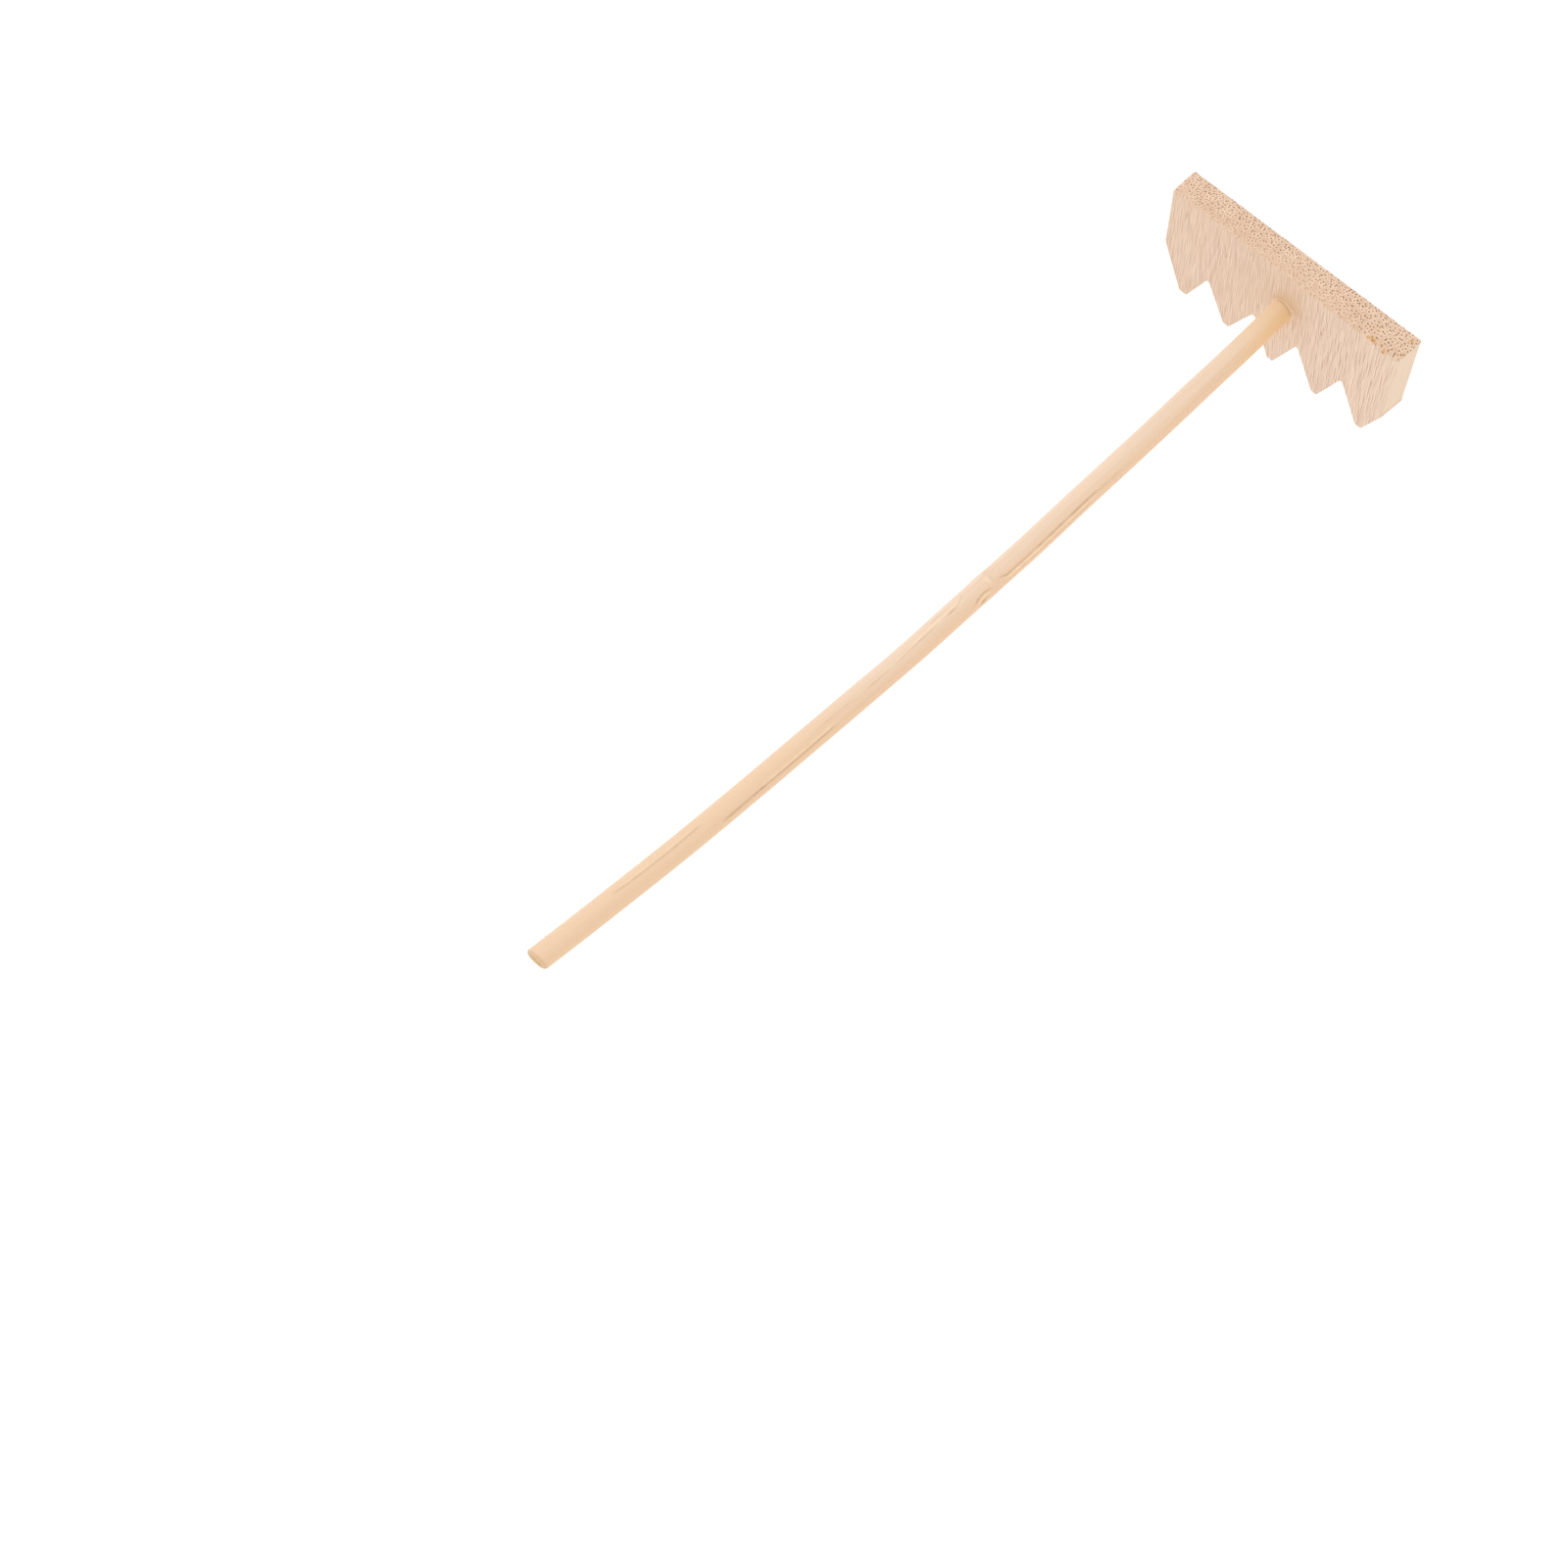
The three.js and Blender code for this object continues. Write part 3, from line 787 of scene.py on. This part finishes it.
def head_material():
    g = Nodes("bamboo_head_finish")
    p = g.bench()
    x, y, z = g.split(p)
    m_top, m_end = g.attribute("m_top").outputs["Fac"], g.attribute("m_end").outputs["Fac"]
    m_flank, m_face = g.attribute("m_flank").outputs["Fac"], g.attribute("m_face").outputs["Fac"]
    m_edge = g.attribute("m_edge").outputs["Fac"]

    # Fibre coordinates: the fibres lean a little to one side and dive slowly into the face.
    tilt = g.sub(g.mul(g.mul(x, x), 0.0002), 0.10)
    waver = g.mul(g.sub(g.noise(p, 0.10, 0.0), 0.5), 0.15)
    u = g.add(g.sub(x, g.mul(tilt, z)), waver)
    v = g.sub(y, g.mul(z, 0.02))

    fine = g.noise(g.vector(g.mul(u, 10.0), g.mul(v, 5.0), g.mul(z, 0.22)), 1.0, 1.0, 0.5)
    broad = g.noise(g.vector(g.mul(u, 1.7), g.mul(v, 1.7), g.mul(z, 0.09)), 1.0, 1.0)
    slow = g.noise(p, 0.13, 2.0)
    dark = g.step(g.noise(g.vector(g.add(g.mul(u, 13.0), 17.0), g.mul(v, 6.0), g.mul(z, 0.25)), 1.0, 0.3), 0.56, 0.67)
    bold = g.step(g.noise(g.vector(g.add(g.mul(u, 6.0), 91.0), g.mul(v, 5.0), g.mul(z, 0.22)), 1.0, 0.0), 0.68, 0.80)
    dark = g.math("MAXIMUM", dark, bold)
    light = g.step(g.noise(g.vector(g.add(g.mul(u, 11.5), 55.0), g.mul(v, 6.0), g.mul(z, 0.23)), 1.0, 0.3), 0.57, 0.68)

    # Vascular bundles: a plane pattern carried along the fibres, packed tighter towards the skin.
    rho = g.sub(g.math("SQRT", g.add(g.mul(x, x), g.math("POWER", g.add(v, 41.4), 2.0))), 41.4)
    vv = g.add(g.mul(rho, 1.45), g.mul(g.mul(rho, rho), 0.05))
    jitter = g.mul(g.sub(g.noise(p, 0.9, 1.0), 0.5), 0.4)
    dist, cell = g.cells(g.vector(g.add(g.mul(u, 1.75), jitter), vv, 0.0), 1.0, 0.78)
    cell_r, cell_g, _ = g.split(cell)
    dot = g.step(dist, 0.10, g.step(x, 2.0, -12.0, 0.315, 0.32), 1.0, 0.0)
    rim = g.mul(g.mul(g.step(dist, 0.24, 0.36), g.step(dist, 0.42, 0.62, 1.0, 0.0)), g.step(cell_g, 0.2, 0.7, 0.4, 1.0))
    reach = g.add(y, g.mul(g.math("MAXIMUM", g.sub(x, 7.0), 0.0), 0.26))
    packed = g.mul(g.step(rho, 0.0, 5.0, 0.68, 1.0), g.step(reach, 0.2, 3.2, 0.5, 1.0))
    dot = g.mul(g.mul(dot, packed), g.add(g.mul(cell_r, 0.6), 0.55))

    # Colours.
    face = g.mix(g.step(x, -6.0, 10.0), srgb(229, 200, 176), srgb(233, 206, 185))
    face = g.mix(g.mul(g.step(slow, 0.45, 0.7), 0.4), face, srgb(232, 205, 179))
    face = g.mix(g.mul(g.step(slow, 0.5, 0.3), 0.4), face, srgb(226, 197, 175))
    crisp = g.step(x, 3.0, 14.0, 0.44, 0.52)
    face = g.mix(g.mul(dark, crisp), face, srgb(196, 159, 131))
    face = g.mix(g.mul(light, crisp), face, srgb(252, 230, 207))
    # Single opened fibres: a thin dark groove, partly painted shade in the crease, with a painted highlight on the lip
    # beside it, 1 to 2 mm long.
    lip_d, lip_c = g.cells(g.vector(g.add(g.mul(u, 4.2), 0.52), g.mul(z, 0.15), 0.0), 1.0, 1.0)
    groove_d, groove_c = g.cells(g.vector(g.mul(u, 4.2), g.mul(z, 0.15), 0.0), 1.0, 1.0)
    some, _, _ = g.split(groove_c)
    some_lip, _, _ = g.split(lip_c)
    strong = g.step(x, -4.0, 12.0, 0.52, 0.72)
    groove = g.mul(g.mul(g.step(groove_d, 0.16, 0.33, 1.0, 0.0), g.step(some, 0.25, 0.65)), strong)
    lip_highlight = g.mul(g.mul(g.step(lip_d, 0.16, 0.33, 1.0, 0.0), g.step(some_lip, 0.25, 0.65)), strong)
    face = g.mix(lip_highlight, face, srgb(255, 236, 214))
    face = g.mix(groove, face, srgb(184, 137, 105))

    top = g.mix(g.step(slow, 0.3, 0.7), srgb(222, 187, 160), srgb(227, 193, 166))
    grit = g.noise(p, 5.0, 1.0, 0.6)
    top = g.mix(g.step(grit, 0.54, 0.72, 0.0, 0.45), top, srgb(203, 163, 131))
    top = g.mix(g.step(grit, 0.47, 0.32, 0.0, 0.45), top, srgb(248, 220, 194))
    top = g.mix(g.mul(rim, g.step(y, 0.2, 3.2, 0.45, 0.8)), top, srgb(252, 226, 200))
    top = g.mix(dot, top, g.mix(g.step(cell_g, 0.3, 0.8), g.mix(g.step(x, 6.0, 13.0), srgb(146, 104, 78), srgb(126, 85, 62)), srgb(158, 110, 76)))

    end = g.mix(g.mul(dark, 0.25), srgb(237, 211, 185), srgb(222, 194, 162))
    end = g.mix(g.mul(light, 0.3), end, srgb(246, 226, 203))
    flank = g.mix(g.mul(dot, 0.4), srgb(228, 199, 172), srgb(190, 150, 115))
    fuzz = g.noise(p, 3.0, 3.0, 0.65)
    flank = g.mix(g.step(fuzz, 0.5, 0.75), flank, srgb(214, 180, 150))

    # On the right the end grain runs over the eased edge and a little down the face.
    spill = g.add(z, g.mul(g.sub(g.noise(p, 1.2, 1.0), 0.5), 0.9))
    spill = g.mul(g.mul(g.step(spill, 7.15, 7.95), g.step(x, -6.0, 8.0, 0.35, 0.9)), g.step(y, 2.0, 1.0))
    colour = g.mix(g.math("MAXIMUM", m_top, spill), face, top)
    rounding = g.mul(g.step(x, 18.2, 19.7, 0.0, 0.5), g.step(z, 8.2, 7.4, 0.0, 1.0))
    colour = g.mix(rounding, colour, end)
    colour = g.mix(m_end, colour, end)
    colour = g.mix(m_flank, colour, flank)
    # Eased edges are a little lighter: partly burnished, partly a painted highlight.
    colour = g.mix(g.mul(m_edge, 0.2), colour, srgb(228, 202, 176))

    # Yellowed line where the pith side meets the top.
    line = g.mul(g.bell(y, 0.25, 0.75), g.bell(z, 8.1, 0.8))
    line = g.mul(line, g.step(g.noise(p, 0.55, 2.0), 0.42, 0.62))
    line = g.mul(line, g.step(x, 3.0, 12.0))
    colour = g.mix(g.mul(line, 0.42), colour, srgb(222, 184, 134))
    # Resin spots near the front right of the top edge.
    for point, core, halo in (((15.15, 0.08, 7.98), 0.14, 0.62), ((14.5, 0.05, 8.0), 0.07, 0.42), ((17.2, 0.0, 7.15), 0.16, 0.62), ((17.35, 0.05, 7.6), 0.05, 0.40), ((19.85, 1.0, 8.15), 0.10, 0.22),
                              ((19.3, 3.55, 8.27), 0.10, 0.42), ((14.7, 1.6, 8.27), 0.06, 0.26), ((13.4, 1.5, 8.27), 0.05, 0.2)):
        core_d = g.distance(p, point)
        d = g.add(core_d, g.mul(g.sub(g.noise(p, 2.4, 1.0), 0.5), 0.25))
        colour = g.mix(g.mul(g.step(d, halo * 1.25, core, 0.0, 1.0), 0.62), colour, srgb(229, 186, 124))
        colour = g.mix(g.mul(g.step(d, halo * 0.62, core, 0.0, 1.0), 0.55), colour, srgb(205, 142, 74))
        colour = g.mix(g.mul(g.step(core_d, core * 1.15, core * 0.45, 0.0, 1.0), 0.8), colour, srgb(136, 80, 40))
    # Two dark bruised fibres near the left end.
    for px, pz, length in ((-18.55, 5.2, 1.3), (-10.9, 2.6, 0.9), (-3.9, -3.2, 0.8), (7.1, 1.2, 0.8), (16.9, -1.4, 0.9)):
        a = g.mul(g.bell(u, px - (0.0002 * px * px - 0.10) * pz, 0.16), g.bell(z, pz, length))
        colour = g.mix(g.mul(g.mul(a, m_face), 0.6), colour, srgb(178, 138, 104))

    # Glue soaked into the wood around the hole, and painted shade where the stick meets the head, mostly above and to
    # the right of the stick.
    front_side = g.step(y, 1.5, 0.6, 0.0, 1.0)
    r = g.math("SQRT", g.add(g.mul(x, x), g.mul(z, z)))
    wet = g.distance(g.vector(x, 0.0, g.mul(z, 0.9)), (0.9, 0.0, 1.9))
    wet = g.add(wet, g.mul(g.sub(g.noise(p, 0.8, 2.0), 0.5), 1.1))
    colour = g.mix(g.mul(g.mul(g.step(wet, 3.0, 0.9, 0.0, 1.0), front_side), 0.6), colour, srgb(219, 180, 134))
    # Painted shade: on the front face a darker ring round the stick, on its upper right side, stands in for the stick's
    # contact shadow.
    joint_stain_and_shade = g.add(r, g.mul(g.sub(g.noise(p, 1.3, 1.0), 0.5), 0.4))
    shaded_upper_right = g.step(g.add(g.mul(x, 0.5), z), -0.3, 1.6)
    colour = g.mix(g.mul(g.mul(g.mul(g.step(joint_stain_and_shade, 2.6, 2.0, 0.0, 1.0), front_side), shaded_upper_right), 0.3), colour, srgb(198, 158, 116))
    colour = g.mix(g.mul(g.mul(g.mul(g.bell(x, 1.0, 6.0), g.bell(z, 5.0, 4.5)), front_side), 0.35), colour, srgb(221, 187, 156))
    # On the back face the same ring, darker all round the hole, is a glue stain.
    back_side = g.step(y, 3.9, 4.4, 0.0, 1.0)
    colour = g.mix(g.mul(g.mul(g.step(joint_stain_and_shade, 2.7, 1.95, 0.0, 1.0), back_side), 0.45), colour, srgb(206, 168, 124))
    hole = g.step(r, 1.97, 1.91, 0.0, 1.0)
    colour = g.mix(g.mul(hole, 0.8), colour, srgb(196, 158, 122))

    # Fine light and dark of single fibres.
    shade = g.add(0.955, g.mul(fine, 0.09))
    shade = g.add(shade, g.mul(g.sub(broad, 0.5), 0.03))
    colour = g.scaled(colour, shade)
    g.set(g.bsdf.inputs["Base Color"], colour)

    rough = g.add(0.72, g.mul(g.sub(fine, 0.5), 0.25))
    rough = g.add(rough, g.mul(m_top, 0.12))
    g.set(g.bsdf.inputs["Roughness"], rough)
    g.bsdf.inputs["Specular IOR Level"].default_value = 0.16
    height = g.add(g.mul(fine, 0.55), g.mul(light, 0.25))
    height = g.sub(height, g.mul(dark, 0.5))
    height = g.sub(height, g.mul(g.mul(groove, m_face), 0.6))
    height = g.sub(height, g.mul(g.mul(dot, g.add(m_top, g.mul(m_flank, 0.6))), 1.4))
    height = g.add(height, g.mul(g.mul(fuzz, g.add(m_flank, m_top)), 0.7))
    g.bump(height, 0.55, 0.000035)
    return g.mat


def stick_material():
    g = Nodes("bamboo_stick_finish")
    gr = g.attribute("grain").outputs["Vector"]
    x, y, z = g.split(gr)
    tone_and_painted_light, cut = g.attribute("m_tone_and_painted_light").outputs["Fac"], g.attribute("m_cut").outputs["Fac"]
    along = g.mul(y, -1.0)
    fine = g.noise(g.vector(g.mul(x, 3.6), g.mul(z, 3.6), g.mul(y, 0.05)), 1.0, 2.0, 0.55)
    broad = g.noise(g.vector(g.mul(x, 0.9), g.mul(z, 0.9), g.mul(y, 0.015)), 1.0, 1.0)
    streak = g.step(g.noise(g.vector(g.add(g.mul(x, 4.4), 9.0), g.mul(z, 4.4), g.mul(y, 0.04)), 1.0, 1.0), 0.60, 0.75)
    pale = g.step(g.noise(g.vector(g.add(g.mul(x, 3.8), 31.0), g.mul(z, 3.8), g.mul(y, 0.035)), 1.0, 1.0), 0.60, 0.75)

    # Which way round the stick: 1 on the side towards the light, -1 on the side away from it, the warm golden edge,
    # where the colour is painted darker and more golden as painted shade.
    round_ = g.math("DIVIDE", g.add(g.mul(x, -0.95), g.mul(z, 0.31)), STICK_R)
    shaded_side_gold = g.step(round_, 0.6, -1.0, 0.0, 1.0)

    colour = g.mix(g.step(broad, 0.35, 0.65), srgb(237, 210, 184), srgb(240, 213, 189))
    # Painted shade: darker, more golden colour on the side away from the light.
    colour = g.mix(g.mul(shaded_side_gold, 0.85), colour, srgb(239, 200, 162))
    colour = g.mix(g.mul(streak, 0.28), colour, srgb(226, 188, 150))
    colour = g.mix(g.mul(pale, 0.30), colour, srgb(249, 225, 197))
    # Warmer near the head, where glue has soaked in, and again towards the free end.
    near_head = g.step(along, 16.0, 0.5, 0.0, 1.0)
    colour = g.mix(g.mul(near_head, 0.75), colour, srgb(238, 206, 167))
    # Painted shade on top of glue stain: near the head the side away from the light is more golden still.
    colour = g.mix(g.mul(g.mul(near_head, shaded_side_gold), 0.65), colour, srgb(247, 202, 145))
    far = g.step(along, 80.0, 102.0, 0.0, 1.0)
    colour = g.mix(g.mul(far, 0.6), colour, srgb(237, 202, 164))
    ring = g.mul(g.bell(along, 61.6, 1.6), g.step(g.noise(gr, 1.2, 2.0), 0.4, 0.6))
    colour = g.mix(g.mul(ring, 0.18), colour, srgb(222, 188, 152))
    # Marks: fibre colour plus painted shade in the grooves and a painted highlight on the ridges.
    colour = g.mix(g.math("MAXIMUM", g.mul(tone_and_painted_light, -1.0), 0.0, clamp=True), colour, srgb(170, 118, 72))
    colour = g.mix(g.math("MAXIMUM", tone_and_painted_light, 0.0, clamp=True), colour, srgb(255, 229, 186))

    # Cut ends: fibre bundles seen end on.
    dist, cell = g.cells(g.vector(x, z, 0.0), 2.1, 0.8)
    cell_r, _, _ = g.split(cell)
    pores = g.mul(g.step(dist, 0.12, 0.36, 1.0, 0.0), g.add(g.mul(cell_r, 0.7), 0.3))
    section = g.mix(g.mul(pores, 0.75), srgb(224, 184, 138), srgb(142, 98, 62))
    r = g.math("SQRT", g.add(g.mul(x, x), g.mul(z, z)))
    section = g.mix(g.step(r, 1.1, 1.6, 0.0, 0.5), section, srgb(206, 160, 112))
    colour = g.mix(cut, colour, section)
    rim = g.mul(g.step(along, 145.0, 145.45, 0.0, 1.0), g.sub(1.0, cut))
    colour = g.mix(g.mul(rim, 0.4), colour, srgb(206, 162, 116))

    shade = g.add(0.965, g.mul(fine, 0.07))
    colour = g.scaled(colour, shade)
    g.set(g.bsdf.inputs["Base Color"], colour)
    rough = g.add(0.52, g.mul(g.sub(fine, 0.5), 0.22))
    rough = g.add(rough, g.mul(cut, 0.25))
    g.set(g.bsdf.inputs["Roughness"], rough)
    g.bsdf.inputs["Specular IOR Level"].default_value = 0.24
    height = g.add(g.mul(fine, 0.5), g.mul(pale, 0.2))
    height = g.sub(height, g.mul(streak, 0.35))
    height = g.sub(height, g.mul(g.mul(pores, cut), 1.6))
    g.bump(height, 0.5, 0.00003)
    return g.mat


def glue_material():
    g = Nodes("dried_glue_finish")
    p = g.bench()
    x, y, z = g.split(p)
    n1 = g.noise(p, 1.4, 2.0)
    n2 = g.noise(p, 5.0, 2.0)
    r = g.math("SQRT", g.add(g.mul(x, x), g.mul(z, z)))
    colour = g.mix(g.step(n1, 0.35, 0.65), srgb(226, 190, 150), srgb(234, 202, 166))
    # Painted shade: next to the stick, on its upper right side, the glue is darker.
    side = g.step(g.add(g.mul(x, 0.6), z), 0.4, 1.8)
    colour = g.mix(g.mul(g.mul(g.step(r, 2.0, 1.78, 0.0, 1.0), side), 0.6), colour, srgb(184, 136, 92))
    colour = g.mix(g.mul(g.step(r, 2.1, 2.5, 0.0, 1.0), 0.5), colour, srgb(230, 200, 170))
    g.set(g.bsdf.inputs["Base Color"], colour)
    g.set(g.bsdf.inputs["Roughness"], g.add(0.24, g.mul(n2, 0.2)))
    g.bsdf.inputs["Specular IOR Level"].default_value = 0.5
    g.bump(g.add(n1, g.mul(n2, 0.3)), 0.4, 0.00008)
    return g.mat


# ------------------------------------------------------------------ pieces

head = build_head()
head.data.materials.append(head_material())
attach(head, "root")
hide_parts("rake_head")

stick = stick_object()
stick.data.materials.append(stick_material())
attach(stick, "root")
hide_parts("handle_stick")

glue = build_glue()
glue.data.materials.append(glue_material())
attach(glue, "root")
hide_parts("glue_joint")

# ------------------------------------------------------------------ stage, light, camera

scene = bpy.context.scene

half = 3.0
floor_mesh = bpy.data.meshes.new("floor")
floor_mesh.from_pydata([(-half, -half, -0.00002), (half, -half, -0.00002), (half, half, -0.00002), (-half, half, -0.00002)], [], [(0, 1, 2, 3)])
floor = bpy.data.objects.new("floor", floor_mesh)
scene.collection.objects.link(floor)
fm = Nodes("floor_white")
fm.bsdf.inputs["Base Color"].default_value = (0.0, 0.0, 0.0, 1.0)
fm.bsdf.inputs["Emission Color"].default_value = (1.0, 1.0, 1.0, 1.0)
fm.bsdf.inputs["Emission Strength"].default_value = 1.08
fm.bsdf.inputs["Roughness"].default_value = 0.9
fm.bsdf.inputs["Specular IOR Level"].default_value = 0.0
floor_mesh.materials.append(fm.mat)

world = bpy.data.worlds.new("studio")
scene.world = world
world.use_nodes = True
background = world.node_tree.nodes["Background"]
background.inputs["Color"].default_value = (1.0, 1.0, 1.0, 1.0)
background.inputs["Strength"].default_value = 0.95


def area_light(name, place, aim, size, power):
    data = bpy.data.lights.new(name, "AREA")
    data.shape = "DISK"
    data.size = size
    data.energy = power
    ob = bpy.data.objects.new(name, data)
    scene.collection.objects.link(ob)
    ob.location = place
    ob.rotation_mode = "QUATERNION"
    ob.rotation_quaternion = (Vector(aim) - Vector(place)).to_track_quat("-Z", "Y")
    return ob


area_light("key", (-0.62, -0.12, 0.62), (0.0, 0.02, 0.01), 0.5, 1.05)

camera_data = bpy.data.cameras.new("camera")
camera = bpy.data.objects.new("camera", camera_data)
scene.collection.objects.link(camera)
camera_data.sensor_width = 36.0
camera_data.lens = 73.8326
camera_data.clip_start = 0.01
camera_data.clip_end = 20.0
right = Vector((0.7245167571, 0.6864574031, 0.0620620848)).normalized()
down = Vector((0.6250620077, -0.6164227643, -0.4788741611))
down = (down - right * down.dot(right)).normalized()
ahead = right.cross(down).normalized()
place = Vector((0.1264679279, -0.2009032695, 0.3826234000))
camera.matrix_world = Matrix((
    (right.x, -down.x, -ahead.x, place.x),
    (right.y, -down.y, -ahead.y, place.y),
    (right.z, -down.z, -ahead.z, place.z),
    (0, 0, 0, 1)))
scene.camera = camera

scene.view_settings.view_transform = "Standard"
scene.view_settings.look = "None"
scene.view_settings.exposure = 0.0
scene.view_settings.gamma = 1.0
